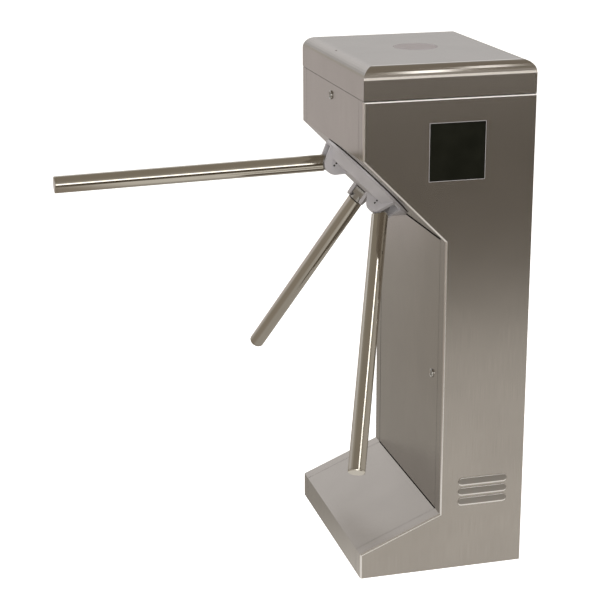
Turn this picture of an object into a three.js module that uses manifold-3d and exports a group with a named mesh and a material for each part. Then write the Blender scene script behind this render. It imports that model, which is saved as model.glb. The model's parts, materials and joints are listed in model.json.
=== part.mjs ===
// Visitor counter turnstile: a C-shaped stainless cabinet with a three-arm rotor on its 45 degree face.
// Units are millimetres, +Z is up, and the origin is the centre of the cabinet's footprint on the floor.
// The passage is on the -X side, and visitors arrive from -Y.

import * as THREE from 'three';
import { mergeVertices } from 'three/addons/utils/BufferGeometryUtils.js';
import Module from 'manifold-3d';

const wasm = await Module();
wasm.setup();

// ---------------------------------------------------------------- driving dimensions
const WIDTH = 330;              // cabinet along X
const DEPTH = 420;              // cabinet along Y
const SEAM_Z = 934;             // top of the body, where the lid starts
const LID_TOP_Z = 995;
const LID_EDGE_RADIUS = 23;
const HEAD_BOTTOM_Z = 825;      // where the 45 degree face starts
const RECESS_X = -4;            // outer face of the access door
const FOOT_FRONT_Z = 50;
const FOOT_BACK_Z = 117;
const FLANGE = 30;              // side panel's flange along the C profile
const SHEET = 1.5;
const BEND_RADIUS = 3;          // outer bend of the side panels
const GAP = 0.3;                // between touching pieces
const SEAM_GAP = 0.8;           // visible joints in the shell

const HUB_X = -90.5;            // where the rotor axis meets the 45 degree face
const ARM_LENGTH = 536;         // pivot to tip
const ARM_RADIUS = 16;
const ARM_WALL = 1.5;
const ARM_CONE = 43.8;          // arm to rotor axis, degrees
const PIVOT_RADIUS = 72;        // arm pivot from the rotor axis
const PIVOT_RISE = 27.4;        // arm pivot above the 45 degree face
const SHAFT_RADIUS = 12.5;
const SHAFT_HOLE_RADIUS = 30;   // in the 45 degree face, behind the hub

const LEFT = -WIDTH / 2;
const RIGHT = WIDTH / 2;
const NEAR = -DEPTH / 2;
const FAR = DEPTH / 2;
const RECESS_TOP_Z = HEAD_BOTTOM_Z - (RECESS_X - LEFT);
const HUB_Z = HEAD_BOTTOM_Z - (HUB_X - LEFT);
const INNER_HALF = FAR - FLANGE;  // half width between the flanges

// ---------------------------------------------------------------- materials
const finish = (color, metalness, roughness) => ({ color, metalness, roughness });
const STAINLESS = finish(0x9a938c, 1.0, 0.38);
const POLISHED = finish(0xb4b0a6, 1.0, 0.12);
const CAST_GREY = finish(0xa9a9ad, 0.5, 0.45);
const ZINC = finish(0xa3a6a8, 1.0, 0.45);
const HARD_STEEL = finish(0x6f6d6a, 1.0, 0.4);
const BLACK_GLASS = finish(0x0b0d0c, 0.0, 0.12);
const BLACK_RUBBER = finish(0x17171a, 0.0, 0.85);
const BLACK_PLASTIC = finish(0x202124, 0.0, 0.5);
const PALE_PLASTIC = finish(0xa59c98, 0.0, 0.4);
const BOARD_GREEN = finish(0x1f5a3a, 0.0, 0.5);
const LOCK_CHROME = finish(0xc2c2bf, 1.0, 0.2);

// ---------------------------------------------------------------- solids
function solid(geometry) {
  const bare = geometry.clone();
  bare.deleteAttribute('normal');
  bare.deleteAttribute('uv');
  const merged = mergeVertices(bare, 1e-4);
  return new wasm.Manifold(new wasm.Mesh({
    numProp: 3,
    vertProperties: new Float32Array(merged.attributes.position.array),
    triVerts: new Uint32Array(merged.index.array),
  }));
}

function join(...solids) {
  return solids.reduce((whole, next) => whole.add(next));
}

function cut(body, ...tools) {
  return tools.reduce((left, tool) => left.subtract(tool), body);
}

function geometryOf(body) {
  const mesh = body.getMesh();
  const geometry = new THREE.BufferGeometry();
  geometry.setAttribute('position', new THREE.BufferAttribute(new Float32Array(mesh.vertProperties), 3));
  geometry.setIndex(new THREE.BufferAttribute(new Uint32Array(mesh.triVerts), 1));
  return geometry;
}

function block(x0, x1, y0, y1, z0, z1) {
  const geometry = new THREE.BoxGeometry(x1 - x0, y1 - y0, z1 - z0);
  geometry.translate((x0 + x1) / 2, (y0 + y1) / 2, (z0 + z1) / 2);
  return solid(geometry);
}

// A flat outline extruded along one axis. Its two coordinates are X,Z for 'y', Y,Z for 'x' and X,Y for 'z'.
const PLANES = {
  x: [[0, 1, 0], [0, 0, 1], [1, 0, 0]],
  y: [[-1, 0, 0], [0, 0, 1], [0, 1, 0]],
  z: [[1, 0, 0], [0, 1, 0], [0, 0, 1]],
};

function slab(outline, axis, from, to) {
  const flip = axis === 'y' ? -1 : 1;
  const shape = new THREE.Shape(outline.map(([a, b]) => new THREE.Vector2(flip * a, b)));
  const geometry = new THREE.ExtrudeGeometry(shape, { depth: to - from, bevelEnabled: false });
  geometry.translate(0, 0, from);
  const [ax, ay, az] = PLANES[axis].map((v) => new THREE.Vector3(...v));
  geometry.applyMatrix4(new THREE.Matrix4().makeBasis(ax, ay, az));
  return solid(geometry);
}

// A round bar between two places on one axis; at is its centre in the other two coordinates, in X,Y,Z order.
function rod(axis, radius, from, to, at = [0, 0], segments = 40) {
  const geometry = new THREE.CylinderGeometry(radius, radius, to - from, segments);
  geometry.translate(0, (from + to) / 2, 0);
  if (axis === 'x') {
    geometry.rotateZ(-Math.PI / 2);
    geometry.translate(0, at[0], at[1]);
  } else if (axis === 'z') {
    geometry.rotateX(Math.PI / 2);
    geometry.translate(at[0], at[1], 0);
  } else {
    geometry.translate(at[0], 0, at[1]);
  }
  return solid(geometry);
}

// A turned piece about Z from [radius, height] points.
function turned(profile, segments = 64) {
  const geometry = new THREE.LatheGeometry(profile.map(([r, h]) => new THREE.Vector2(r, h)), segments);
  geometry.rotateX(Math.PI / 2);
  return solid(geometry);
}

const radians = THREE.MathUtils.degToRad;

function arc(centre, radius, fromDegrees, toDegrees, steps = 8) {
  return Array.from({ length: steps + 1 }, (_, i) => {
    const angle = radians(fromDegrees + ((toDegrees - fromDegrees) * i) / steps);
    return [centre[0] + radius * Math.cos(angle), centre[1] + radius * Math.sin(angle)];
  });
}

// A line of points moved sideways to its left by a distance, with mitred corners.
function shifted(points, distance) {
  const normals = points.slice(1).map(([x, y], i) => {
    const [px, py] = points[i];
    const length = Math.hypot(x - px, y - py);
    return [-(y - py) / length, (x - px) / length];
  });
  return points.map(([x, y], i) => {
    const before = normals[Math.max(i - 1, 0)];
    const after = normals[Math.min(i, normals.length - 1)];
    const scale = distance / (1 + before[0] * after[0] + before[1] * after[1]);
    return [x + (before[0] + after[0]) * scale, y + (before[1] + after[1]) * scale];
  });
}

const band = (points, thickness) => [...points, ...shifted(points, thickness).reverse()];

const model = new THREE.Group();

function place(parent, name, body, look) {
  const mesh = new THREE.Mesh(geometryOf(body), new THREE.MeshStandardMaterial(look));
  mesh.name = name;
  parent.add(mesh);
}

// ---------------------------------------------------------------- cabinet shell
// The C profile, from the lid seam down to the floor.
const C_PROFILE = [
  [LEFT, SEAM_Z],
  [LEFT, HEAD_BOTTOM_Z],
  [RECESS_X, RECESS_TOP_Z],
  [RECESS_X, FOOT_BACK_Z],
  [LEFT, FOOT_FRONT_Z],
  [LEFT, 0],
];
const PANEL_OUTLINE = [...C_PROFILE, [RIGHT, 0], [RIGHT, SEAM_Z]];

const WINDOW = { size: 107, x: 14.3, z: 835 };
const LOUVRE = { length: 97, height: 12.5, x: 82, z: 159.5, pitch: 20.8, count: 3 };
const DOOR_LOCK = { y: -148, z: 388 };
const LID_LOCK = { y: 0, z: 912 };
const DOOR_AXIS = { x: 0.5, y: 174, radius: 2.5 };
const DOOR_BOTTOM = FOOT_BACK_Z + 2;
const DOOR_TOP = RECESS_TOP_Z - 3;

function stadium(cx, cz, length, height) {
  const r = height / 2;
  const right = arc([cx + length / 2 - r, cz], r, -90, 90);
  const left = arc([cx - length / 2 + r, cz], r, 90, 270);
  return [...right, ...left];
}

// The C outline with every edge of its two faces rounded, except along the floor and the back.
function roundedEnvelope() {
  const beyond = 2 * BEND_RADIUS;
  const outline = [
    ...C_PROFILE.slice(0, -1), [LEFT, -beyond], [RIGHT + beyond, -beyond], [RIGHT + beyond, SEAM_Z],
  ];
  const shape = new THREE.Shape(outline.map(([x, z]) => new THREE.Vector2(x, z)));
  const geometry = new THREE.ExtrudeGeometry(shape, {
    depth: DEPTH - 2 * BEND_RADIUS,
    bevelThickness: BEND_RADIUS,
    bevelSize: BEND_RADIUS,
    bevelOffset: -BEND_RADIUS,
    bevelSegments: 4,
  });
  geometry.translate(0, 0, NEAR + BEND_RADIUS);
  geometry.rotateX(Math.PI / 2);
  return solid(geometry);
}

function sidePanel() {
  const skin = slab(PANEL_OUTLINE, 'y', NEAR, NEAR + SHEET);
  const flange = slab(band(C_PROFILE, SHEET), 'y', NEAR, NEAR + FLANGE);
  return join(skin, flange).intersect(roundedEnvelope());
}

function nearSidePanel() {
  const half = WINDOW.size / 2 + GAP;
  const through = [NEAR - 1, NEAR + SHEET + 1];
  const opening = block(WINDOW.x - half, WINDOW.x + half, ...through, WINDOW.z - half, WINDOW.z + half);
  const slots = Array.from({ length: LOUVRE.count }, (_, i) => {
    const z = LOUVRE.z + (i - (LOUVRE.count - 1) / 2) * LOUVRE.pitch;
    return slab(stadium(LOUVRE.x, z, LOUVRE.length, LOUVRE.height), 'y', ...through);
  });
  const strike = block(8.5, 11.5, NEAR + 1, NEAR + 28, DOOR_LOCK.z - 15, DOOR_LOCK.z + 15);
  return join(cut(sidePanel(), opening, ...slots), strike);
}

// The far panel carries the two eyes that the access door's studs turn in.
function farSidePanel() {
  const panel = sidePanel().mirror([0, 1, 0]);
  const eyes = [DOOR_BOTTOM - 6, DOOR_TOP + 3].map((z) => cut(
    block(-2, 8, DOOR_AXIS.y - 8, FAR - 1, z, z + 3),
    rod('z', DOOR_AXIS.radius + GAP, z - 1, z + 4, [DOOR_AXIS.x, DOOR_AXIS.y], 24),
  ));
  return join(panel, ...eyes);
}

function rearPanel() {
  const half = FAR - SHEET - GAP;
  const lip = RIGHT - 20;
  const outline = [
    [RIGHT, -half], [RIGHT, half], [lip, half], [lip, half - SHEET], [RIGHT - SHEET, half - SHEET],
    [RIGHT - SHEET, -half + SHEET], [lip, -half + SHEET], [lip, -half],
  ];
  return slab(outline, 'z', 0, SEAM_Z - GAP);
}

function betweenFlanges(points) {
  return slab(band(points, SHEET), 'y', -INNER_HALF + SEAM_GAP, INNER_HALF - SEAM_GAP);
}

// The head's front and the 45 degree face are one bent sheet, with the lid lock's hole and the shaft's hole.
function headFairing() {
  const slopeEnd = [RECESS_X - 1, RECESS_TOP_Z + 1];
  const sheet = betweenFlanges([C_PROFILE[0], C_PROFILE[1], slopeEnd]);
  const lockHole = rod('x', LOCK.sleeve + GAP, LEFT - 1, LEFT + 3, [LID_LOCK.y, LID_LOCK.z], 32);
  const shaftHole = solid(new THREE.CylinderGeometry(SHAFT_HOLE_RADIUS, SHAFT_HOLE_RADIUS, 20, 48)
    .rotateX(Math.PI / 2)
    .applyMatrix4(rotorMatrix()));
  return cut(sheet, lockHole, shaftHole);
}

function footCover() {
  return betweenFlanges([[RECESS_X - 1, FOOT_BACK_Z - 0.5], C_PROFILE[4], C_PROFILE[5]]);
}

const BASE = { thickness: 4, anchorRadius: 7, anchorX: 120, anchorY: 165 };

function basePlate() {
  const inset = SHEET + GAP;
  const side = FAR - 2 * inset;
  const plate = block(LEFT + inset, RIGHT - inset, -side, side, 0, BASE.thickness);
  const hole = (radius, at) => rod('z', radius, -1, BASE.thickness + 1, at, 32);
  const anchors = [-1, 1].flatMap((sx) => [-1, 1].map(
    (sy) => hole(BASE.anchorRadius, [sx * BASE.anchorX, sy * BASE.anchorY]),
  ));
  return cut(plate, ...anchors, hole(GLAND.radius + GAP, [GLAND.x, GLAND.y]));
}

// ---------------------------------------------------------------- lid
const READER = { radius: 42, x: 5, y: 10 };
const STRAP = { x0: -152, x1: -124, y0: 16, y1: 18, bottom: 900, bar: 5.5, slot: 8 };

function lidBlock(inset, bottom) {
  const top = LID_TOP_Z - inset;
  const r = LID_EDGE_RADIUS - inset;
  const profile = (half) => [
    [-half, bottom], [half, bottom],
    ...arc([half - r, top - r], r, 0, 90),
    ...arc([-half + r, top - r], r, 90, 180),
  ];
  const along = slab(profile(RIGHT - inset), 'y', NEAR + inset, FAR - inset);
  const across = slab(profile(FAR - inset), 'x', LEFT + inset, RIGHT - inset);
  return along.intersect(across);
}

// The strap hangs inside the lid, and the lid lock's cam turns over its bottom bar.
function lid() {
  const shell = cut(lidBlock(0, SEAM_Z + SEAM_GAP), lidBlock(SHEET, SEAM_Z - 5));
  const discHole = rod('z', READER.radius + GAP, LID_TOP_Z - 3, LID_TOP_Z + 1, [READER.x, READER.y], 64);
  const strap = block(STRAP.x0, STRAP.x1, STRAP.y0, STRAP.y1, STRAP.bottom, LID_TOP_Z - 1);
  const slot = block(
    STRAP.x0 + STRAP.slot, STRAP.x1 - STRAP.slot, STRAP.y0 - 1, STRAP.y1 + 1,
    STRAP.bottom + STRAP.bar, SEAM_Z + 8,
  );
  return join(cut(shell, discHole), cut(strap, slot));
}

function readerDisc() {
  const under = LID_TOP_Z - SHEET - GAP;
  const r = READER.radius;
  const lip = r + 6;
  const disc = turned([
    [0, under - 2], [lip, under - 2], [lip, under], [r, under], [r, LID_TOP_Z], [0, LID_TOP_Z],
  ]);
  return disc.translate([READER.x, READER.y, 0]);
}

// ---------------------------------------------------------------- lid hinge, along the back of the seam
const HINGE = { x: RIGHT + 3.5, z: SEAM_Z + 0.2, knuckle: 3.2, pin: 1.5, knuckles: 10, half: 180, leaf: 28 };

function hingeLeaf(side) {
  const pitch = (2 * HINGE.half) / HINGE.knuckles;
  const plate = [RIGHT + GAP, RIGHT + GAP + SHEET];
  const far = HINGE.z + side * (HINGE.leaf + HINGE.knuckle);
  const near = HINGE.z + side * (HINGE.knuckle + GAP);
  const strip = block(...plate, -HINGE.half, HINGE.half, Math.min(far, near), Math.max(far, near));
  const first = side > 0 ? 1 : 0;
  const pieces = [strip];
  for (let i = first; i < HINGE.knuckles; i += 2) {
    const from = -HINGE.half + i * pitch + GAP;
    const to = from + pitch - 2 * GAP;
    const [low, high] = [Math.min(near + side, HINGE.z), Math.max(near + side, HINGE.z)];
    pieces.push(block(...plate, from, to, low, high));
    pieces.push(rod('y', HINGE.knuckle, from, to, [HINGE.x, HINGE.z], 24));
  }
  const bore = rod('y', HINGE.pin + GAP, -HINGE.half - 1, HINGE.half + 1, [HINGE.x, HINGE.z], 24);
  return cut(join(...pieces), bore);
}

// ---------------------------------------------------------------- key locks, turning about X
const LOCK = { flange: 8.5, sleeve: 7, plug: 5, neck: 3, length: 24 };

function lockHousing(face, at) {
  const body = join(
    rod('x', LOCK.flange, face - 2, face - GAP, at, 32),
    rod('x', LOCK.sleeve, face - 1, face + LOCK.length, at, 32),
  );
  return cut(body, rod('x', LOCK.plug + GAP, face - 3, face + LOCK.length + 1, at, 32));
}

function lockPlug(face, at, depth) {
  const key = block(face - 3, face - 1, at[0] - 0.6, at[0] + 0.6, at[1] - 2.6, at[1] + 2.6);
  const plug = rod('x', LOCK.plug, face - 2, face + depth, at, 32);
  const neck = rod('x', LOCK.neck, face + depth - 1, face + depth + 4, at, 24);
  return cut(join(plug, neck), key);
}

function lockCam(face, at, depth, reach) {
  const from = face + depth + 0.5;
  const to = from + 2.5;
  const bar = block(from, to, at[0] - 6, at[0] + 6, at[1], at[1] + reach);
  return cut(join(bar, rod('x', 8, from, to, at, 32)), rod('x', LOCK.neck + GAP, from - 1, to + 1, at, 24));
}

// ---------------------------------------------------------------- access door
const DOOR_RETURN = 15;
const DOOR_NEAR = -INNER_HALF + 1;
const DOOR_FAR = INNER_HALF - 2;

function accessDoor() {
  const back = RECESS_X + DOOR_RETURN;
  const tray = block(RECESS_X, back, DOOR_NEAR, DOOR_FAR, DOOR_BOTTOM, DOOR_TOP);
  const hollow = block(
    RECESS_X + SHEET, back + 1, DOOR_NEAR + SHEET, DOOR_FAR - SHEET, DOOR_BOTTOM + SHEET, DOOR_TOP - SHEET,
  );
  const lockHole = rod('x', LOCK.sleeve + GAP, RECESS_X - 1, RECESS_X + 3, [DOOR_LOCK.y, DOOR_LOCK.z], 32);
  const centre = [DOOR_AXIS.x, DOOR_AXIS.y];
  const studs = [
    rod('z', DOOR_AXIS.radius, DOOR_BOTTOM - 6, DOOR_BOTTOM + 1, centre, 24),
    rod('z', DOOR_AXIS.radius, DOOR_TOP - 1, DOOR_TOP + 6, centre, 24),
  ];
  return join(cut(tray, hollow, lockHole), ...studs);
}

// ---------------------------------------------------------------- counter window and electronics
function squareFrame(outer, inner, y0, y1) {
  const [o, i] = [outer / 2, inner / 2];
  return cut(
    block(WINDOW.x - o, WINDOW.x + o, y0, y1, WINDOW.z - o, WINDOW.z + o),
    block(WINDOW.x - i, WINDOW.x + i, y0 - 1, y1 + 1, WINDOW.z - i, WINDOW.z + i),
  );
}

const PANE = { front: NEAR + GAP, thickness: 3 };

function windowPane() {
  const h = WINDOW.size / 2;
  const y1 = PANE.front + PANE.thickness;
  return block(WINDOW.x - h, WINDOW.x + h, PANE.front, y1, WINDOW.z - h, WINDOW.z + h);
}

function windowGasket() {
  const skinBack = NEAR + SHEET + GAP;
  const paneBack = PANE.front + PANE.thickness + GAP;
  return join(
    squareFrame(WINDOW.size + 20, WINDOW.size + 1, skinBack, paneBack + 2),
    squareFrame(WINDOW.size + 20, WINDOW.size - 12, paneBack, paneBack + 2),
  );
}

function displayModule() {
  const front = PANE.front + PANE.thickness + 4;
  const board = block(WINDOW.x - 62, WINDOW.x + 62, front + 8, front + 10, WINDOW.z - 55, WINDOW.z + 55);
  const face = block(WINDOW.x - 42, WINDOW.x + 42, front, front + 9, WINDOW.z - 30, WINDOW.z + 30);
  return join(board, face);
}

const GLAND = { x: 90, y: 0, radius: 12 };

function cableGland() {
  const seat = BASE.thickness + GAP;
  const body = turned([
    [6, 1], [GLAND.radius, 1], [GLAND.radius, seat], [17, seat], [17, 12],
    [13, 14], [11, 26], [6, 26], [6, 1],
  ], 32);
  return body.translate([GLAND.x, GLAND.y, 0]);
}

function powerSupply() {
  const [x0, x1, y0, y1, z0, z1] = [10, 110, 50, 200, BASE.thickness + GAP, 44];
  const vents = Array.from({ length: 8 }, (_, i) => {
    const from = y0 + 15 + i * 16;
    return block(x0 + 12, x1 - 12, from, from + 4, z1 - 2, z1 + 1);
  });
  return cut(block(x0, x1, y0, y1, z0, z1), ...vents);
}

function controlBoard() {
  const back = RIGHT - SHEET - GAP;
  const board = block(back - 10, back - 8, -110, 70, 690, 830);
  const posts = [-104, 64].flatMap((y) => [696, 824].map((z) => rod('x', 4, back - 9, back, [y, z], 16)));
  const parts = [
    block(back - 24, back - 9, -90, -50, 780, 815),
    block(back - 20, back - 9, -30, 10, 705, 735),
    block(back - 28, back - 9, 25, 60, 700, 760),
    block(back - 22, back - 9, -100, 50, 770, 776),
  ];
  return join(board, ...posts, ...parts);
}

// ---------------------------------------------------------------- rotor
// The rotor's own frame: Z points out along its axis, X points up the 45 degree face, and Y is the
// cabinet's Y.
function rotorMatrix() {
  return new THREE.Matrix4()
    .makeRotationY(radians(-135))
    .setPosition(HUB_X, 0, HUB_Z);
}

const HUB = { back: 2, rim: 105, rimTop: 7, shoulder: 90, face: 25 };
const EAR = { inner: 12, outer: 18.5, radius: 22, foot: [104, 8], heel: [36, 20] };
const PIN_RADIUS = 7;
const ARM_START = 25;

// The ear's outline in radius and height: two flanks that meet the round top where they touch it.
function earOutline() {
  const centre = [PIVOT_RADIUS, PIVOT_RISE];
  const touch = (point, side) => {
    const [dx, dy] = [point[0] - centre[0], point[1] - centre[1]];
    const lean = Math.acos(EAR.radius / Math.hypot(dx, dy));
    return THREE.MathUtils.radToDeg(Math.atan2(dy, dx) + side * lean);
  };
  const from = touch(EAR.foot, 1);
  const to = (touch(EAR.heel, -1) + 360) % 360;
  return [[EAR.heel[0], 8], EAR.foot, ...arc(centre, EAR.radius, from, to, 20), EAR.heel];
}

function hub() {
  const drum = turned([
    [0, HUB.back], [HUB.rim, HUB.back], [HUB.rim, HUB.rimTop], [HUB.shoulder, HUB.face - 3],
    [HUB.shoulder - 3, HUB.face], [0, HUB.face],
  ], 72);
  const ears = [];
  const pockets = [];
  for (let k = 0; k < 3; k += 1) {
    for (const side of [-1, 1]) {
      const [from, to] = side < 0 ? [-EAR.outer, -EAR.inner] : [EAR.inner, EAR.outer];
      ears.push(slab(earOutline(), 'y', from, to).rotate([0, 0, 120 * k]));
    }
    pockets.push(block(50, HUB.rim + 5, -EAR.inner, EAR.inner, 10, 80).rotate([0, 0, 120 * k]));
    pockets.push(rod('y', PIN_RADIUS + GAP, -30, 30, [PIVOT_RADIUS, PIVOT_RISE]).rotate([0, 0, 120 * k]));
  }
  const bore = rod('z', SHAFT_RADIUS + GAP, HUB.back - 1, 17);
  return cut(join(drum, ...ears), ...pockets, bore);
}

// An arm lies along its own +X from its pivot, and the pivot turns about Y.
function armRoot() {
  const plug = 14.2;
  const tongue = join(rod('x', plug, 0, 60), rod('y', plug, -EAR.inner, EAR.inner));
  const flats = [-1, 1].map((side) => {
    const [y0, y1] = side < 0 ? [-30, -EAR.inner + GAP] : [EAR.inner - GAP, 30];
    return block(-30, ARM_START - 0.5, y0, y1, -30, 30);
  });
  return cut(tongue, ...flats, rod('y', PIN_RADIUS + GAP, -30, 30));
}

function armTube() {
  const end = ARM_LENGTH - 4;
  const tube = cut(
    rod('x', ARM_RADIUS, 10, end, [0, 0], 48),
    rod('x', ARM_RADIUS - ARM_WALL, 0, end + 1, [0, 0], 48),
  );
  return cut(tube, rod('y', ARM_START, -30, 30, [0, 0], 64));
}

function armCap() {
  const from = ARM_LENGTH - 4 + GAP;
  const r = ARM_RADIUS;
  const cap = turned([
    [0, from - 14], [14.2, from - 14], [14.2, from], [r, from], [r, ARM_LENGTH - 2],
    [r - 0.6, ARM_LENGTH - 0.6], [r - 2, ARM_LENGTH], [0, ARM_LENGTH],
  ], 48);
  return cap.rotate([0, 90, 0]);
}

// ---------------------------------------------------------------- mechanism, in the rotor's frame
const CHASSIS = { front: -14, back: -20 };
const REAR_PLATE = { front: -78, back: -84 };
const CAM_LEVEL = [-102, -92];
const PAWL_LEVEL = [-112, -106];
const BEARING_RADIUS = 26;
const CAM_BASE = 37;
const CAM_LIFT = 6;
const FOLLOWER = { x: -54, y: 60, reach: 60 };
const PAWL = { x: 35, y: 62, tail: 33 };

function mainShaft() {
  return rod('z', SHAFT_RADIUS, -149, 16, [0, 0], 48);
}

function bearing(from, to) {
  const r = BEARING_RADIUS;
  return turned([
    [SHAFT_RADIUS + GAP, from], [r, from], [r, to], [SHAFT_RADIUS + GAP, to], [SHAFT_RADIUS + GAP, from],
  ], 48);
}

function chassisPlate() {
  const plate = block(-100, 100, -150, 150, CHASSIS.back, CHASSIS.front);
  const pillars = [-85, 85].flatMap((x) => [-115, 115].map(
    (y) => rod('z', 8, REAR_PLATE.front + GAP, -SHEET - GAP, [x, y], 24),
  ));
  return cut(join(plate, ...pillars), rod('z', BEARING_RADIUS + GAP, CHASSIS.back - 1, CHASSIS.front + 1));
}

function rearPlate() {
  const plate = block(-100, 100, -130, 130, REAR_PLATE.back, REAR_PLATE.front);
  const posts = [
    rod('z', 5, CAM_LEVEL[0] - 3, REAR_PLATE.back + 1, [FOLLOWER.x, FOLLOWER.y], 24),
    rod('z', 5, PAWL_LEVEL[0] - 3, REAR_PLATE.back + 1, [PAWL.x, PAWL.y], 24),
    rod('z', 5, PAWL_LEVEL[0] - 3, REAR_PLATE.back + 1, [PAWL.x, -PAWL.y], 24),
  ];
  const seat = rod('z', BEARING_RADIUS + GAP, REAR_PLATE.back - 1, REAR_PLATE.front + 1);
  return cut(join(plate, ...posts), seat);
}

function onShaft(outline, from, to) {
  return cut(slab(outline, 'z', from, to), rod('z', SHAFT_RADIUS + GAP, from - 1, to + 1));
}

// Three narrow lobes, at 0, 120 and 240 degrees, with a long dwell between them.
function indexCam() {
  const outline = Array.from({ length: 72 }, (_, i) => {
    const angle = radians(i * 5);
    const r = CAM_BASE + CAM_LIFT * Math.max(0, Math.cos(3 * angle)) ** 3;
    return [r * Math.cos(angle), r * Math.sin(angle)];
  });
  return onShaft(outline, ...CAM_LEVEL);
}

function lockWheel() {
  const outline = arc([0, 0], 45, 0, 355, 71);
  const notches = Array.from({ length: 6 }, (_, i) => {
    const notch = block(36, 50, -10, 10, PAWL_LEVEL[0] - 8, PAWL_LEVEL[1] + 6);
    return notch.rotate([0, 0, 30 + 60 * i]);
  });
  return cut(onShaft(outline, ...PAWL_LEVEL), ...notches);
}

function encoderDisc() {
  const teeth = 24;
  const outline = Array.from({ length: teeth }, (_, i) => {
    const angle = (k) => radians((360 / teeth) * (i + k));
    const tooth = [[36, 0], [36, 0.5], [31, 0.5], [31, 1]];
    return tooth.map(([r, k]) => [r * Math.cos(angle(k)), r * Math.sin(angle(k))]);
  }).flat();
  return onShaft(outline, -122, -120);
}

function encoderSensor() {
  const head = block(29, 60, -8, 8, -127, -114);
  const post = block(53, 60, -8, 8, -120, REAR_PLATE.back - GAP);
  return cut(join(head, post), block(27, 40, -9, 9, -124, -118));
}

function damper() {
  const body = rod('z', 28, -150, -128);
  const bar = block(-95, 95, -10, 10, -150, -144);
  const posts = [-90, 90].map((x) => rod('z', 5, -145, REAR_PLATE.back - GAP, [x, 0], 24));
  return cut(join(body, bar, ...posts), rod('z', SHAFT_RADIUS + GAP, -151, -127));
}

// The roller stands just clear of the lobes' highest radius.
function followerArm() {
  const [from, to] = CAM_LEVEL;
  const { x, y, reach } = FOLLOWER;
  const bar = block(x - 7, x + 7, y - reach, y, from, from + 3);
  const boss = rod('z', 9, from, to, [x, y], 32);
  const axle = rod('z', 3, from, to, [x, y - reach], 24);
  const nose = rod('z', 7, from, from + 3, [x, y - reach], 24);
  return cut(join(bar, boss, axle, nose), rod('z', 5 + GAP, from - 1, to + 1, [x, y], 24));
}

function followerRoller() {
  const from = CAM_LEVEL[0] + 3 + GAP;
  const at = [FOLLOWER.x, FOLLOWER.y - FOLLOWER.reach];
  return cut(rod('z', 10, from, CAM_LEVEL[1], at, 32), rod('z', 3 + GAP, from - 1, CAM_LEVEL[1] + 1, at, 24));
}

function pawl() {
  const [from, to] = PAWL_LEVEL;
  const { x, y, tail } = PAWL;
  const outline = [
    [x, y + 7], [x - 30, y - 3], [-3, 57], [-3, 48], [3, 48], [5, 52], [x - 18, y - 9], [x, y - 8],
    [x + tail + 2, y - 3], [x + tail + 2, y + 3],
  ];
  const lever = join(slab(outline, 'z', from, to), rod('z', 9, from, to, [x, y], 32));
  return cut(lever, rod('z', 5 + GAP, from - 1, to + 1, [x, y], 24));
}

const PLUNGER = { x: PAWL.x + PAWL.tail, z: (PAWL_LEVEL[0] + PAWL_LEVEL[1]) / 2, radius: 6 };

function plunger() {
  const body = rod('y', PLUNGER.radius, 54, 108, [PLUNGER.x, PLUNGER.z], 32);
  const slot = block(PLUNGER.x - 10, PLUNGER.x + 10, 53, 70, PLUNGER.z - 3.8, PLUNGER.z + 3.8);
  return cut(body, slot);
}

function solenoid() {
  const can = block(PLUNGER.x - 15, PLUNGER.x + 15, 76, 126, PLUNGER.z - 15, REAR_PLATE.back - GAP);
  return cut(can, rod('y', PLUNGER.radius + GAP, 75, 116, [PLUNGER.x, PLUNGER.z], 32));
}

const mirrored = (body) => body.mirror([0, 1, 0]);

// ---------------------------------------------------------------- assembly
const lidLockAt = [LID_LOCK.y, LID_LOCK.z];
const doorLockAt = [DOOR_LOCK.y, DOOR_LOCK.z];
const LID_PLUG = 26;
const DOOR_PLUG = 15.5;

place(model, 'near_side_panel', nearSidePanel(), STAINLESS);
place(model, 'far_side_panel', farSidePanel(), STAINLESS);
place(model, 'rear_panel', rearPanel(), STAINLESS);
place(model, 'head_fairing', headFairing(), STAINLESS);
place(model, 'foot_cover', footCover(), STAINLESS);
place(model, 'base_plate', basePlate(), STAINLESS);
place(model, 'lid', lid(), STAINLESS);
place(model, 'reader_disc', readerDisc(), PALE_PLASTIC);
place(model, 'lid_hinge_leaf', hingeLeaf(1), STAINLESS);
place(model, 'cabinet_hinge_leaf', hingeLeaf(-1), STAINLESS);
place(model, 'lid_hinge_pin', rod('y', HINGE.pin, -HINGE.half, HINGE.half, [HINGE.x, HINGE.z], 24), ZINC);
place(model, 'lid_lock_housing', lockHousing(LEFT, lidLockAt), LOCK_CHROME);
place(model, 'lid_lock_plug', lockPlug(LEFT, lidLockAt, LID_PLUG), LOCK_CHROME);
place(model, 'lid_lock_cam', lockCam(LEFT, lidLockAt, LID_PLUG, 28), ZINC);
place(model, 'access_door', accessDoor(), STAINLESS);
place(model, 'door_lock_housing', cut(
  lockHousing(RECESS_X, doorLockAt),
  block(RECESS_X + 14, 60, -180, -100, 350, 420),
), LOCK_CHROME);
place(model, 'door_lock_plug', lockPlug(RECESS_X, doorLockAt, DOOR_PLUG), LOCK_CHROME);
place(model, 'door_lock_cam', lockCam(RECESS_X, doorLockAt, DOOR_PLUG, 42), ZINC);
place(model, 'window_pane', windowPane(), BLACK_GLASS);
place(model, 'window_gasket', windowGasket(), BLACK_RUBBER);
place(model, 'display_module', displayModule(), BLACK_PLASTIC);
place(model, 'cable_gland', cableGland(), BLACK_PLASTIC);
place(model, 'power_supply', powerSupply(), ZINC);
place(model, 'control_board', controlBoard(), BOARD_GREEN);

const rotor = new THREE.Group();
rotor.applyMatrix4(rotorMatrix());
model.add(rotor);

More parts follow.
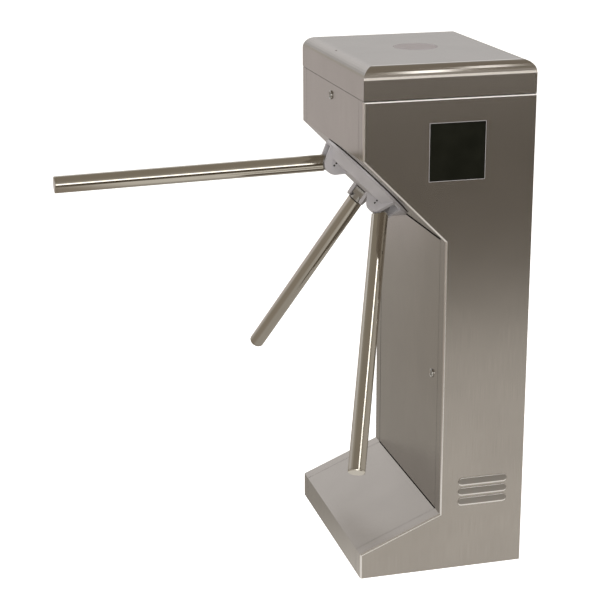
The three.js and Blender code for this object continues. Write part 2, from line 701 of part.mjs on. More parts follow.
place(rotor, 'chassis_plate', chassisPlate(), ZINC);
place(rotor, 'mechanism_plate', rearPlate(), ZINC);
place(rotor, 'front_bearing', bearing(-24, -10), HARD_STEEL);
place(rotor, 'rear_bearing', bearing(-88, -74), HARD_STEEL);
place(rotor, 'main_shaft', mainShaft(), HARD_STEEL);
place(rotor, 'index_cam', indexCam(), HARD_STEEL);
place(rotor, 'lock_wheel', lockWheel(), HARD_STEEL);
place(rotor, 'encoder_disc', encoderDisc(), BLACK_PLASTIC);
place(rotor, 'encoder_sensor', encoderSensor(), BLACK_PLASTIC);
place(rotor, 'damper', damper(), HARD_STEEL);
place(rotor, 'follower_arm', followerArm(), ZINC);
place(rotor, 'follower_roller', followerRoller(), HARD_STEEL);
place(rotor, 'pawl_far', pawl(), HARD_STEEL);
place(rotor, 'pawl_near', mirrored(pawl()), HARD_STEEL);
place(rotor, 'plunger_far', plunger(), HARD_STEEL);
place(rotor, 'plunger_near', mirrored(plunger()), HARD_STEEL);
place(rotor, 'solenoid_far', solenoid(), BLACK_PLASTIC);
place(rotor, 'solenoid_near', mirrored(solenoid()), BLACK_PLASTIC);
place(rotor, 'hub', hub(), CAST_GREY);

for (let k = 0; k < 3; k += 1) {
  const spoke = new THREE.Group();
  spoke.rotation.z = radians(120 * k);
  rotor.add(spoke);
  const arm = new THREE.Group();
  arm.position.set(PIVOT_RADIUS, 0, PIVOT_RISE);
  arm.rotation.y = radians(ARM_CONE - 90);
  spoke.add(arm);
  place(arm, `pivot_pin_${k + 1}`, rod('y', PIN_RADIUS, -EAR.outer, EAR.outer), CAST_GREY);
  place(arm, `arm_root_${k + 1}`, armRoot(), ZINC);
  place(arm, `arm_tube_${k + 1}`, armTube(), POLISHED);
  place(arm, `arm_cap_${k + 1}`, armCap(), POLISHED);
}

export default model;
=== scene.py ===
"""Visitor counter turnstile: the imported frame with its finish, small parts, camera and studio."""
import json
import math

import bmesh
import bpy
from mathutils import Matrix, Vector


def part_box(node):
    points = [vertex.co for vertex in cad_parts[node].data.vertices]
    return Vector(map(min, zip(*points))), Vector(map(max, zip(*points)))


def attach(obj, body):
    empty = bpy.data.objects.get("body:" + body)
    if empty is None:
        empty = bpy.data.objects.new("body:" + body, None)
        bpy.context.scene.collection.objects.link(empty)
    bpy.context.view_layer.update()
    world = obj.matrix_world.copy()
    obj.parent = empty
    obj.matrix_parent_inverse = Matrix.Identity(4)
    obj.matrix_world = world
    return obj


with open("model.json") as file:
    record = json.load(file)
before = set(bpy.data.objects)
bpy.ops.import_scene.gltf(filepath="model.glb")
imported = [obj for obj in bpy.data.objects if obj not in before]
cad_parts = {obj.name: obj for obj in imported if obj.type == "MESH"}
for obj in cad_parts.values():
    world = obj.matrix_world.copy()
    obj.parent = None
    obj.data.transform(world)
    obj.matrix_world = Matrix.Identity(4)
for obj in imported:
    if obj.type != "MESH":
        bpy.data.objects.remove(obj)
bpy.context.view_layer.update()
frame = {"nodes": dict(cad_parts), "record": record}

nodes = frame["nodes"]
MM = 0.001

# ---------------------------------------------------------------- sizes, in metres
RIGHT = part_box("near_side_panel")[1].x
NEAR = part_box("near_side_panel")[0].y
HUB_CENTRE = Vector((-0.0905, 0.0, 0.7505))
ROTOR_OUT = Vector((-1, 0, -1)).normalized()
ROTOR_UP = Vector((-1, 0, 1)).normalized()
PIVOT_RADIUS = 0.072            # from the rotor's axis out to each arm's pivot
PIVOT_RISE = 0.0274             # from the hub's centre out along its axis to the pivots
EAR_OUTER = 0.0185              # half the width over a pair of ears


# ---------------------------------------------------------------- node material helpers
class Nodes:
    """A short way to write one material's nodes."""

    def __init__(self, name):
        self.material = bpy.data.materials.new(name)
        self.material.use_nodes = True
        self.tree = self.material.node_tree
        self.shader = self.tree.nodes["Principled BSDF"]

    def add(self, kind, **settings):
        node = self.tree.nodes.new(kind)
        for key, value in settings.items():
            if key in node.inputs:
                node.inputs[key].default_value = value
            else:
                setattr(node, key, value)
        return node

    def link(self, source, target):
        self.tree.links.new(source, target)

    def place(self, scale):
        """Object coordinates, scaled per axis."""
        coordinates = self.add("ShaderNodeTexCoord")
        mapping = self.add("ShaderNodeMapping")
        mapping.inputs["Scale"].default_value = scale
        self.link(coordinates.outputs["Object"], mapping.inputs["Vector"])
        return mapping.outputs["Vector"]

    def noise(self, vector, scale, detail=3.0):
        noise = self.add("ShaderNodeTexNoise")
        noise.inputs["Scale"].default_value = scale
        noise.inputs["Detail"].default_value = detail
        self.link(vector, noise.inputs["Vector"])
        return noise.outputs["Fac"]

    def spread(self, value, low, high):
        """A value near a half, spread out to run from low to high."""
        spread = self.add("ShaderNodeMapRange")
        spread.inputs["From Min"].default_value = 0.3
        spread.inputs["From Max"].default_value = 0.7
        spread.inputs["To Min"].default_value = low
        spread.inputs["To Max"].default_value = high
        self.link(value, spread.inputs["Value"])
        return spread.outputs["Result"]

    def mix(self, factor, first, second):
        mix = self.add("ShaderNodeMix", data_type="RGBA")
        mix.inputs["A"].default_value = (*first, 1)
        mix.inputs["B"].default_value = (*second, 1)
        self.link(factor, mix.inputs["Factor"])
        return mix.outputs["Result"]

    def onto(self, factor, first, color):
        """The first colour socket, turning into a fixed colour."""
        mix = self.add("ShaderNodeMix", data_type="RGBA")
        self.link(factor, mix.inputs["Factor"])
        self.link(first, mix.inputs["A"])
        mix.inputs["B"].default_value = (*color, 1)
        return mix.outputs["Result"]

    def between(self, factor, first, second):
        """The first value, turning into the second, which may be a socket or a number."""
        mix = self.add("ShaderNodeMix", data_type="FLOAT")
        self.link(factor, mix.inputs["Factor"])
        self.link(first, mix.inputs["A"])
        if isinstance(second, float):
            mix.inputs["B"].default_value = second
        else:
            self.link(second, mix.inputs["B"])
        return mix.outputs["Result"]

    def bump(self, height, distance, strength=1.0):
        bump = self.add("ShaderNodeBump")
        bump.inputs["Distance"].default_value = distance
        bump.inputs["Strength"].default_value = strength
        self.link(height, bump.inputs["Height"])
        self.link(bump.outputs["Normal"], self.shader.inputs["Normal"])

    def bend(self, across):
        """1 on faces part way round a bend along the cabinet's near or far edges, and 0 on flat ones."""
        size = self.add("ShaderNodeMath", operation="ABSOLUTE")
        self.link(across, size.inputs[0])
        started = self.add("ShaderNodeMapRange", interpolation_type="SMOOTHSTEP")
        ended = self.add("ShaderNodeMapRange", interpolation_type="SMOOTHSTEP")
        for node, start, end in ((started, 0.03, 0.08), (ended, 0.99, 0.999)):
            node.inputs["From Min"].default_value = start
            node.inputs["From Max"].default_value = end
            self.link(size.outputs[0], node.inputs["Value"])
        part_way = self.add("ShaderNodeMath", operation="SUBTRACT")
        self.link(started.outputs["Result"], part_way.inputs[0])
        self.link(ended.outputs["Result"], part_way.inputs[1])
        return part_way.outputs[0]

    def set(self, **values):
        for name, value in values.items():
            self.shader.inputs[name.replace("_", " ")].default_value = value


def shade(color, factor):
    return tuple(channel * factor for channel in color)


# ---------------------------------------------------------------- materials
GRAIN_SCALE = 900
GRAIN_STRETCH = 0.02            # the grain's scale along its length, beside 1 across it
GRAIN_DEPTH = 0.006             # how far the grain moves the roughness
GRAIN_TONE = 0.3                # how much of the grain shows as a darker tone
GRAIN_SHADE = 0.75              # the darker tone itself, beside the sheet's colour


def brushed_steel(name, color, roughness, grain="z", bend_highlight_color=None, bend_roughness=None):
    """Sheet with a long fine grain, which runs along X on level faces.

    Bends along the cabinet's edges can have a roughness of their own, and a lighter colour that is a painted
    highlight.
    """
    n = Nodes(name)
    along = {"z": (1, 1, GRAIN_STRETCH), "x": (GRAIN_STRETCH, 1, 1)}
    upright = n.noise(n.place(along[grain]), GRAIN_SCALE, 2)
    level = n.noise(n.place(along["x"]), GRAIN_SCALE, 2)
    facing = n.add("ShaderNodeNewGeometry")
    parts = n.add("ShaderNodeSeparateXYZ")
    n.link(facing.outputs["Normal"], parts.inputs["Vector"])
    is_level = n.add("ShaderNodeMath", operation="ABSOLUTE")
    n.link(parts.outputs["Z"], is_level.inputs[0])
    streaks = n.between(is_level.outputs[0], upright, level)
    clouds = n.noise(n.place((1, 1, 1)), 7, 3)
    cloudy = n.mix(n.spread(clouds, 0, 1), shade(color, 0.95), shade(color, 1.04))
    tone = n.onto(n.spread(streaks, 0, GRAIN_TONE), cloudy, shade(color, GRAIN_SHADE))
    surface = n.spread(streaks, roughness - GRAIN_DEPTH, roughness + GRAIN_DEPTH)
    # the bends get their own roughness and a lighter colour, which is a painted highlight
    if bend_highlight_color:
        bend = n.bend(parts.outputs["Y"])
        tone = n.onto(bend, tone, bend_highlight_color)
        surface = n.between(bend, surface, bend_roughness)
    n.link(tone, n.shader.inputs["Base Color"])
    n.link(surface, n.shader.inputs["Roughness"])
    n.set(Metallic=1.0)
    return n.material


def polished_steel(name, color, roughness):
    n = Nodes(name)
    smudge = n.noise(n.place((1, 1, 1)), 18, 4)
    n.link(n.mix(n.spread(smudge, 0, 1), shade(color, 0.95), color), n.shader.inputs["Base Color"])
    n.link(n.spread(smudge, roughness, roughness + 0.05), n.shader.inputs["Roughness"])
    n.set(Metallic=1.0)
    return n.material


def cast_metal(name, color, roughness, metallic, grain=500, depth=0.00008):
    n = Nodes(name)
    sand = n.noise(n.place((1, 1, 1)), grain, 4)
    worn = n.noise(n.place((1, 1, 1)), 25, 3)
    tone = n.mix(n.spread(worn, 0, 1), shade(color, 0.93), shade(color, 1.05))
    n.link(tone, n.shader.inputs["Base Color"])
    n.link(n.spread(sand, roughness - 0.06, roughness + 0.06), n.shader.inputs["Roughness"])
    n.bump(sand, depth, 0.6)
    n.set(Metallic=metallic)
    return n.material


def plastic(name, color, roughness, grain=700, depth=0.00005):
    n = Nodes(name)
    moulded = n.noise(n.place((1, 1, 1)), grain, 3)
    patches = n.noise(n.place((1, 1, 1)), 30, 2)
    tone = n.mix(n.spread(patches, 0, 1), shade(color, 0.92), shade(color, 1.06))
    n.link(tone, n.shader.inputs["Base Color"])
    n.link(n.spread(moulded, roughness - 0.05, roughness + 0.08), n.shader.inputs["Roughness"])
    n.bump(moulded, depth, 0.5)
    return n.material


def smoked_acrylic(name):
    n = Nodes(name)
    haze = n.noise(n.place((1, 1, 1)), 40, 3)
    tone = n.mix(n.spread(haze, 0, 1), (0.006, 0.007, 0.005), (0.010, 0.011, 0.008))
    n.link(tone, n.shader.inputs["Base Color"])
    n.link(n.spread(haze, 0.05, 0.11), n.shader.inputs["Roughness"])
    n.set(IOR=1.49)
    return n.material


def circuit_board(name):
    n = Nodes(name)
    tracks = n.add("ShaderNodeTexVoronoi", feature="DISTANCE_TO_EDGE")
    tracks.inputs["Scale"].default_value = 180
    n.link(n.place((1, 1, 1)), tracks.inputs["Vector"])
    lines = n.add("ShaderNodeMath", operation="LESS_THAN")
    lines.inputs[1].default_value = 0.08
    n.link(tracks.outputs["Distance"], lines.inputs[0])
    n.link(n.mix(lines.outputs[0], (0.012, 0.085, 0.035), (0.03, 0.16, 0.07)), n.shader.inputs["Base Color"])
    n.set(Roughness=0.4)
    return n.material


STAINLESS = (0.47, 0.44, 0.405)
SHEET_ROUGHNESS = 0.262         # kept clear of about 0.274, where streaks show after denoising
# painted highlight: a near-white colour on the bends along the cabinet's edges
PAINTED_EDGE_HIGHLIGHT = (0.92, 0.90, 0.88)
MATERIALS = {
    "stainless_sheet": brushed_steel("stainless_sheet", STAINLESS, SHEET_ROUGHNESS, "z", PAINTED_EDGE_HIGHLIGHT, 0.3),
    "polished_tube": polished_steel("polished_tube", (0.62, 0.585, 0.52), 0.07),
    "cast_hub": cast_metal("cast_hub", (0.49, 0.475, 0.49), 0.42, 0.2),
    "satin_steel": brushed_steel("satin_steel", (0.52, 0.51, 0.49), SHEET_ROUGHNESS, "x"),
    "lock_chrome": polished_steel("lock_chrome", (0.66, 0.65, 0.63), 0.12),
    "zinc_plate": cast_metal("zinc_plate", (0.50, 0.51, 0.53), 0.38, 1.0, 90, 0.00002),
    "machined_steel": brushed_steel("machined_steel", (0.36, 0.35, 0.34), 0.3, "x"),
    "smoked_glass": smoked_acrylic("smoked_glass"),
    "black_rubber": plastic("black_rubber", (0.02, 0.02, 0.021), 0.75),
    "black_plastic": plastic("black_plastic", (0.028, 0.028, 0.03), 0.5),
    "reader_plastic": plastic("reader_plastic", (0.30, 0.265, 0.265), 0.42),
    "board_green": circuit_board("board_green"),
    "supply_case": cast_metal("supply_case", (0.55, 0.55, 0.55), 0.35, 1.0, 60, 0.00002),
}
# painted shade: a darker copy of the sheet for the faces of the louvre hoods
HOOD_PAINTED_SHADE = brushed_steel("hood_painted_shade", shade(STAINLESS, 0.70), 0.3, "x")
# the lid's bends are painted a little lighter, a painted highlight, and are smoother
LID_SHEET = brushed_steel("lid_sheet", STAINLESS, SHEET_ROUGHNESS, "z", shade(STAINLESS, 1.08), 0.11)
# painted shade: a near-black material for the dark inside of openings, the key slots and the spanner holes
PAINTED_OPENING_SHADE = plastic("painted_opening_shade", (0.025, 0.023, 0.02), 0.6)


# ---------------------------------------------------------------- carried-over CAD nodes
BEVELLED = {
    "near_side_panel": 0.5, "far_side_panel": 0.5, "rear_panel": 0.4, "head_fairing": 0.4, "foot_cover": 0.4,
    "lid": 0.4, "access_door": 0.4, "base_plate": 0.4, "hub": 0.8, "lid_lock_housing": 0.4,
    "door_lock_housing": 0.4, "reader_disc": 0.4, "chassis_plate": 0.5, "mechanism_plate": 0.5,
    "control_board": 0.2, "power_supply": 0.6, "cable_gland": 0.5,
}
SMOOTH_ANGLE = math.radians(28)


def smooth(piece):
    """Smooth shading that keeps every edge sharper than the limit."""
    mesh = piece.data
    mesh.shade_smooth()
    mesh.set_sharp_from_angle(angle=SMOOTH_ANGLE)


def bevel(piece, width, segments=2):
    modifier = piece.modifiers.new("edge", "BEVEL")
    modifier.width = width
    modifier.segments = segments
    modifier.limit_method = "ANGLE"
    modifier.angle_limit = math.radians(35)
    modifier.harden_normals = True


for entry in frame["record"]["subparts"]:
    part = nodes[entry["node"]]
    part.data.materials.clear()
    part.data.materials.append(MATERIALS[entry["material_slot"]])
    smooth(part)
    if entry["node"] == "lid":
        part.data.materials[0] = LID_SHEET
    if entry["node"] in BEVELLED:
        bevel(part, BEVELLED[entry["node"]] * MM)


# ---------------------------------------------------------------- new pieces
def piece_from(name, fill, body, material):
    """A new piece from a function that fills a bmesh."""
    mesh = bpy.data.meshes.new(name)
    bm = bmesh.new()
    fill(bm)
    bmesh.ops.remove_doubles(bm, verts=bm.verts, dist=1e-6)
    bmesh.ops.recalc_face_normals(bm, faces=bm.faces)
    bm.to_mesh(mesh)
    bm.free()
    piece = bpy.data.objects.new(name, mesh)
    bpy.context.scene.collection.objects.link(piece)
    mesh.materials.append(material)
    smooth(piece)
    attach(piece, body)
    return piece


def ring_of(bm, rings, closed_ends=True):
    """Joins a list of equal vertex loops into a skin."""
    loops = [[bm.verts.new(point) for point in ring] for ring in rings]
    count = len(loops[0])
    for low, high in zip(loops, loops[1:]):
        for i in range(count):
            bm.faces.new((low[i], low[(i + 1) % count], high[(i + 1) % count], high[i]))
    if closed_ends:
        bm.faces.new(loops[0][::-1])
        bm.faces.new(loops[-1])


def circle(centre, axis, radius, count=24):
    """Points round a circle in the plane square to axis."""
    turn = Vector((0, 0, 1)).rotation_difference(axis)
    steps = (2 * math.pi * i / count for i in range(count))
    return [centre + turn @ Vector((radius * math.cos(a), radius * math.sin(a), 0)) for a in steps]


def turned(centre, axis, profile, count=24):
    """Fills a bmesh with a turned piece from (height, radius) pairs."""
    axis = axis.normalized()

    def fill(bm):
        ring_of(bm, [circle(centre + axis * h, axis, r, count) for h, r in profile])

    return fill


def several(*fills):
    def fill(bm):
        for one in fills:
            one(bm)

    return fill


def bar(low, high):
    """Fills a bmesh with a box between two corners."""

    def fill(bm):
        ring = [(low[0], low[1]), (high[0], low[1]), (high[0], high[1]), (low[0], high[1])]
        ring_of(bm, [[Vector((x, y, z)) for x, y in ring] for z in (low[2], high[2])])

    return fill


# ---------------------------------------------------------------- louvre hoods on the near face
LOUVRE = {"x": 0.082, "z": 0.1595, "pitch": 0.0208, "count": 3, "length": 0.100, "height": 0.0165}
HOOD_COLUMNS = 48               # steps along a hood
HOOD_WALL = 0.0008
HOOD_BACK = 0.0001              # how far the hood's edge stands off the panel
HOOD_SECTION = [  # down the hood from its top edge: share of its height, and how far it stands out
    (0.0, 0.0), (0.06, 0.0003), (0.10, 0.00045),
    (0.25, 0.0008), (0.5, 0.00137), (0.72, 0.00187), (0.76, 0.0019),
    (0.81, 0.0018), (0.87, 0.0014), (0.93, 0.0009), (0.98, 0.0003),
]
HOOD_SHADED_ROWS = HOOD_SECTION[1:6]   # the rows that take the darker copy of the sheet, a painted shade


def louvre_hood(centre_z):
    """A pressed hood: it leaves the face at its top and round its ends, and its lower edge stands open."""
    def point(u, share, out):
        x = LOUVRE["length"] * (u - 0.5)
        half_height = LOUVRE["height"] / 2
        into_end = max(0.0, abs(x) - (LOUVRE["length"] / 2 - half_height))
        round_end = math.sqrt(max(0.0, 1 - (into_end / half_height) ** 2))
        z = centre_z + half_height * round_end * (1 - 2 * share)
        return Vector((LOUVRE["x"] + x, NEAR - HOOD_BACK - out * round_end, z))

    def fill(bm):
        places = [c / HOOD_COLUMNS for c in range(HOOD_COLUMNS + 1)]
        grid = [[bm.verts.new(point(u, *row)) for row in HOOD_SECTION] for u in places]
        for left, right in zip(grid, grid[1:]):
            for r in range(len(HOOD_SECTION) - 1):
                face = bm.faces.new((left[r], right[r], right[r + 1], left[r + 1]))
                face.material_index = 1 if HOOD_SECTION[r] in HOOD_SHADED_ROWS else 0

    return fill


for index in range(LOUVRE["count"]):
    row = index - (LOUVRE["count"] - 1) / 2
    hood = piece_from(
        f"louvre_hood_{index + 1}", louvre_hood(LOUVRE["z"] + row * LOUVRE["pitch"]), "cabinet",
        MATERIALS["stainless_sheet"],
    )
    # the second slot is the darker copy, painted shade on the hood's face rows
    hood.data.materials.append(HOOD_PAINTED_SHADE)
    wall = hood.modifiers.new("sheet", "SOLIDIFY")
    wall.thickness = HOOD_WALL
    wall.offset = 1 if hood.data.polygons[0].normal.y < 0 else -1


# ---------------------------------------------------------------- window trim
def window_trim(bm):
    """A thin flat frame round the pane, on the panel's face."""
    low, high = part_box("window_pane")

    def outline(margin):
        return [(low.x - margin, low.z - margin), (high.x + margin, low.z - margin),
                (high.x + margin, high.z + margin), (low.x - margin, high.z + margin)]

    inner, outer = 0.0001, 0.0009
    back, front = 0.0001, 0.0004
    section = [(outer, back), (outer, front), (inner, front), (inner, back)]
    rings = [[Vector((x, NEAR - out, z)) for x, z in outline(margin)] for margin, out in section]
    ring_of(bm, rings, closed_ends=False)


piece_from("window_trim", window_trim, "cabinet", MATERIALS["cast_hub"])


# ---------------------------------------------------------------- key locks
BEZEL_STEPS = [  # how far out, and the share of the housing's radius
    (0.0, 0.98), (0.0008, 0.95), (0.0012, 0.86), (0.0006, 0.70), (0.0, 0.66),
]
KEY_SLOT = {"half_width": 0.0013, "half_height": 0.0045, "proud": 0.00015, "sunk": 0.0002}


def lock_face(name, housing, plug, body, plug_body):
    """A stepped bezel round the barrel, with a dark bar across the plug, which is painted shade for the key
    slot.
    """
    low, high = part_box(housing)
    centre = Vector((low.x, (low.y + high.y) / 2, (low.z + high.z) / 2))
    outward = Vector((-1, 0, 0))
    rim = (high.y - low.y) / 2

    def bezel(bm):
        rings = [circle(centre + outward * height, outward, rim * share, 40) for height, share in BEZEL_STEPS]
        ring_of(bm, rings, closed_ends=False)

    piece_from(f"{name}_bezel", bezel, body, MATERIALS["lock_chrome"])
    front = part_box(plug)[0].x
    across, rise = KEY_SLOT["half_width"], KEY_SLOT["half_height"]
    # a dark bar standing just proud of the plug: painted shade for the key slot
    slot = bar((front - KEY_SLOT["proud"], centre.y - across, centre.z - rise),
               (front + KEY_SLOT["sunk"], centre.y + across, centre.z + rise))
    piece_from(f"{name}_key_slot_shade", slot, plug_body, PAINTED_OPENING_SHADE)


lock_face("lid_lock", "lid_lock_housing", "lid_lock_plug", "cabinet", "lid_lock")
lock_face("door_lock", "door_lock_housing", "door_lock_plug", "door_body", "door_lock")


# ---------------------------------------------------------------- painted shade for the spanner holes in the pivot pins
def rotor_point(turn, radial, across, rise):
    """A place on the rotor: turn about its axis, then out, across and up from the 45 degree face."""
    spin = Matrix.Rotation(turn, 3, ROTOR_OUT)
    return HUB_CENTRE + spin @ (ROTOR_UP * radial + Vector((0, across, 0)) + ROTOR_OUT * rise)


HOLE_RADIUS = 0.0021
HOLE_RISES = (-0.0015, 0.0046)          # the two holes of one end, from the pin's axis
HOLE_LAYER = (-0.0002, 0.00012)         # back and front of the dark disc, which is painted shade standing for a hole


def spanner_hole_shades(arm):
    """Two dark discs in each end of a pivot pin, painted shade standing for its spanner holes."""
    turn = math.radians(120 * arm)
    sideways = Matrix.Rotation(turn, 3, ROTOR_OUT) @ Vector((0, 1, 0))
    fills = []
    disc = [(height, HOLE_RADIUS) for height in HOLE_LAYER]
    for side in (-1, 1):
        for offset in HOLE_RISES:
            centre = rotor_point(turn, PIVOT_RADIUS, side * EAR_OUTER, PIVOT_RISE + offset)
            fills.append(turned(centre, sideways * side, disc, 20))
    return several(*fills)


for arm in range(3):
    piece_from(f"pin_hole_shades_{arm + 1}", spanner_hole_shades(arm), "rotor", PAINTED_OPENING_SHADE)


# ---------------------------------------------------------------- screws
SCREW = {"radius": 0.0035, "rim": 0.0004, "height": 0.0005, "recess_floor": 0.00005}
LEAF_SCREWS = {"count": 6, "first": -0.16, "pitch": 0.064, "from_edge": 0.012, "face": 0.0018}


def screw_head(centre, outward):
    """A low head, just proud, with a round recess."""
    outward = outward.normalized()
    radius = SCREW["radius"]
    recess = radius * 0.5

    def rings(profile):
        return [circle(centre + outward * height, outward, r, 24) for height, r in profile]

    def fill(bm):
        head = [(0.0, radius), (SCREW["rim"], radius * 0.94), (SCREW["height"], recess)]
        ring_of(bm, rings(head), closed_ends=False)
        wall = rings([(SCREW["height"], recess), (SCREW["recess_floor"], recess)])
        ring_of(bm, wall, closed_ends=False)
        bm.faces.new([bm.verts.new(point) for point in wall[-1]])

    return fill


def hinge_screws(leaf, body):
    """A row of screws along one hinge leaf, on the edge away from the pin."""
    low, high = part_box(leaf)
    is_upper = leaf == "lid_hinge_leaf"
    z = high.z - LEAF_SCREWS["from_edge"] if is_upper else low.z + LEAF_SCREWS["from_edge"]
    face = RIGHT + LEAF_SCREWS["face"]
    row = [LEAF_SCREWS["first"] + LEAF_SCREWS["pitch"] * i for i in range(LEAF_SCREWS["count"])]
    fills = [screw_head(Vector((face, y, z)), Vector((1, 0, 0))) for y in row]
    piece_from(f"{leaf}_screws", several(*fills), body, MATERIALS["satin_steel"])


hinge_screws("lid_hinge_leaf", "lid_body")
hinge_screws("cabinet_hinge_leaf", "cabinet")


# ---------------------------------------------------------------- camera
CAMERA_PLACE = (-1.0125, -2.9728, 1.458)
CAMERA_LENS = 98.5              # millimetres, on a 36 mm sensor
CAMERA_AZIMUTH = math.radians(-14.78)
CAMERA_ELEVATION = math.radians(17.14)
CAMERA_ROLL = math.radians(-0.26)


def camera():
    """The photograph's viewpoint, solved with the cabinet and the arms."""
    azimuth, elevation, roll = CAMERA_AZIMUTH, CAMERA_ELEVATION, CAMERA_ROLL
    back = Vector((
        math.sin(azimuth) * math.cos(elevation),
        -math.cos(azimuth) * math.cos(elevation),
        math.sin(elevation),
    ))
    right = (-back).cross(Vector((0, 0, 1))).normalized()
    up = right.cross(-back)
    rolled_right = math.cos(roll) * right + math.sin(roll) * up
    rolled_up = -math.sin(roll) * right + math.cos(roll) * up
    data = bpy.data.cameras.new("photo_camera")
    data.sensor_width = 36
    data.lens = CAMERA_LENS
    data.clip_end = 100
    holder = bpy.data.objects.new("photo_camera", data)
    bpy.context.scene.collection.objects.link(holder)
    turn = Matrix((rolled_right, rolled_up, back)).transposed()
    holder.matrix_world = Matrix.Translation(CAMERA_PLACE) @ turn.to_4x4()
    bpy.context.scene.camera = holder


camera()


# ---------------------------------------------------------------- studio
FLOOR_HALF = 30                 # half the width of each floor
BACKDROP_RADIUS = 29


def stage_plane(name, z):
    """A level square round the object."""
    mesh = bpy.data.meshes.new(name)
    reach = FLOOR_HALF
    corners = [(-reach, -reach, z), (reach, -reach, z), (reach, reach, z), (-reach, reach, z)]
    mesh.from_pydata(corners, [], [(0, 1, 2, 3)])
    plane = bpy.data.objects.new(name, mesh)
    bpy.context.scene.collection.objects.link(plane)
    return plane


def white_floor():
    """The floor that the camera sees: near white, with soft contact shadows."""
    plane = stage_plane("studio_floor", -0.0005)
    n = Nodes("studio_floor")
    n.set(Roughness=0.9)
    n.shader.inputs["Base Color"].default_value = (0.9, 0.9, 0.9, 1)
    n.shader.inputs["Specular IOR Level"].default_value = 0.0
    n.shader.inputs["Emission Color"].default_value = (1, 1, 1, 1)
    n.shader.inputs["Emission Strength"].default_value = 0.9
    plane.data.materials.append(n.material)
    plane.visible_glossy = False
    plane.visible_diffuse = False
    plane.visible_shadow = False


def white_backdrop():
    """The wall that the camera sees beyond the floor, which neither lights nor mirrors the object."""
    mesh = bpy.data.meshes.new("studio_backdrop")
    bm = bmesh.new()
    bmesh.ops.create_uvsphere(bm, u_segments=48, v_segments=24, radius=BACKDROP_RADIUS)
    bm.to_mesh(mesh)
    bm.free()
    dome = bpy.data.objects.new("studio_backdrop", mesh)
    bpy.context.scene.collection.objects.link(dome)
    n = Nodes("studio_backdrop")
    glow = n.add("ShaderNodeEmission")
    n.link(glow.outputs["Emission"], n.tree.nodes["Material Output"].inputs["Surface"])
    mesh.materials.append(n.material)
    dome.visible_diffuse = False
    dome.visible_glossy = False
    dome.visible_transmission = False
    dome.visible_shadow = False


def fade(n, value, start, end):
    """Rises smoothly from 0 at start to 1 at end."""
    node = n.add("ShaderNodeMapRange", interpolation_type="SMOOTHSTEP")
    low, high = sorted((start, end))
    node.inputs["From Min"].default_value = low
    node.inputs["From Max"].default_value = high
    node.inputs["To Min"].default_value = 0 if start < end else 1
    node.inputs["To Max"].default_value = 1 if start < end else 0
    n.link(value, node.inputs["Value"])
    return node.outputs["Result"]


def reflected_floor():
    """The floor that the metal reflects: pale near the cabinet, dark far out on the visitors' side."""
    plane = stage_plane("reflected_floor", -0.001)
    n = Nodes("reflected_floor")
    coordinates = n.add("ShaderNodeTexCoord")
    parts = n.add("ShaderNodeSeparateXYZ")
    n.link(coordinates.outputs["Object"], parts.inputs["Vector"])
    x, y = parts.outputs["X"], parts.outputs["Y"]
    color = n.mix(fade(n, y, -2.2, -1.4), (0.08, 0.062, 0.04), (0.745, 0.715, 0.67))
    color = n.onto(fade(n, y, -0.25, 0.2), color, (0.42, 0.395, 0.36))
    color = n.onto(fade(n, y, 1.9, 2.7), color, (0.62, 0.575, 0.56))
    passage = n.add("ShaderNodeMath", operation="MULTIPLY")
    n.link(fade(n, x, -0.35, -0.6), passage.inputs[0])
    n.link(fade(n, y, 1.5, 0.8), passage.inputs[1])
    color = n.onto(passage.outputs[0], color, (0.32, 0.28, 0.235))
    glow = n.add("ShaderNodeEmission")
    n.link(color, glow.inputs["Color"])
    n.link(glow.outputs["Emission"], n.tree.nodes["Material Output"].inputs["Surface"])
    plane.data.materials.append(n.material)
    plane.visible_camera = False
    plane.visible_shadow = False


def sky_ramp(tree, height, stops):
    """A colour by height above the horizon, from (height, colour) stops."""
    ramp = tree.nodes.new("ShaderNodeValToRGB")
    tree.links.new(height, ramp.inputs["Fac"])
    ramp.color_ramp.interpolation = "EASE"
    while len(ramp.color_ramp.elements) < len(stops):
        ramp.color_ramp.elements.new(0.5)
    for element, (place, color) in zip(ramp.color_ramp.elements, stops):
        element.position = place
        element.color = (*color, 1)
    return ramp.outputs["Color"]


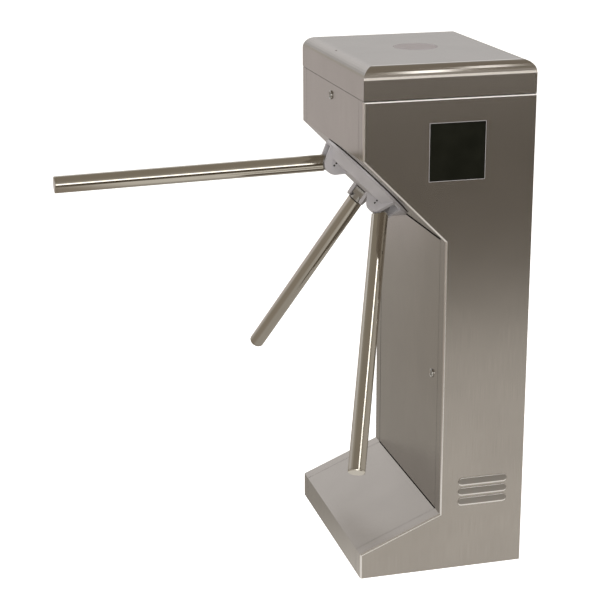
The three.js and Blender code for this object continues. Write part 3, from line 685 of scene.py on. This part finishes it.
def sky():
    """A bright band above the far horizon, dimmer walls on the other sides, and a darker ceiling."""
    world = bpy.data.worlds.new("studio")
    world.use_nodes = True
    tree = world.node_tree
    coordinates = tree.nodes.new("ShaderNodeTexCoord")
    parts = tree.nodes.new("ShaderNodeSeparateXYZ")
    tree.links.new(coordinates.outputs["Generated"], parts.inputs["Vector"])
    ceiling = [(0.66, (0.30, 0.27, 0.225)), (1.0, (0.29, 0.255, 0.21))]
    walls = [(0.0, (0.48, 0.445, 0.40)), (0.5, (0.46, 0.43, 0.39))]
    band = [
        (0.0, (0.58, 0.54, 0.48)), (0.12, (0.57, 0.565, 0.565)), (0.22, (0.72, 0.715, 0.72)),
        (0.36, (1.0, 0.99, 1.0)), (0.5, (0.97, 0.96, 0.97)),
    ]
    behind = tree.nodes.new("ShaderNodeMapRange")
    behind.interpolation_type = "SMOOTHSTEP"
    behind.inputs["From Min"].default_value = 0.35
    behind.inputs["From Max"].default_value = 0.75
    tree.links.new(parts.outputs["Y"], behind.inputs["Value"])
    mix = tree.nodes.new("ShaderNodeMix")
    mix.data_type = "RGBA"
    tree.links.new(behind.outputs["Result"], mix.inputs["Factor"])
    tree.links.new(sky_ramp(tree, parts.outputs["Z"], walls + ceiling), mix.inputs["A"])
    tree.links.new(sky_ramp(tree, parts.outputs["Z"], band + ceiling), mix.inputs["B"])
    tree.links.new(mix.outputs["Result"], tree.nodes["Background"].inputs["Color"])
    bpy.context.scene.world = world


def softbox(name, place, target, size, energy, reflected=False):
    """A rectangular lamp, seen in the metal only where it is meant to be."""
    light = bpy.data.lights.new(name, "AREA")
    light.shape = "RECTANGLE"
    light.size, light.size_y = size
    light.energy = energy
    holder = bpy.data.objects.new(name, light)
    bpy.context.scene.collection.objects.link(holder)
    holder.location = place
    holder.rotation_mode = "QUATERNION"
    holder.rotation_quaternion = (Vector(target) - Vector(place)).to_track_quat("-Z", "Y")
    holder.visible_glossy = reflected
    holder.visible_camera = False


white_floor()
white_backdrop()
reflected_floor()
sky()
softbox("overhead_softbox", (-0.4, -0.8, 3.2), (0, 0, 0.4), (2.6, 2.6), 45)
softbox("side_softbox", (-3.0, -1.5, 1.2), (0, 0, 0.5), (1.8, 1.8), 25)
softbox("front_softbox", (-1.6, -4.0, 1.0), (-0.1, 0, 0.75), (1.6, 1.6), 42)
softbox("window_light", (0, -6.0, 1.65), (0, 0, 0.8), (8.0, 1.1), 60, reflected=True)
softbox("strip_light", (0.82, -1.65, 2.8), (0.82, -1.64, 0), (0.14, 1.5), 2.0, reflected=True)
bpy.context.scene.view_settings.view_transform = "Standard"
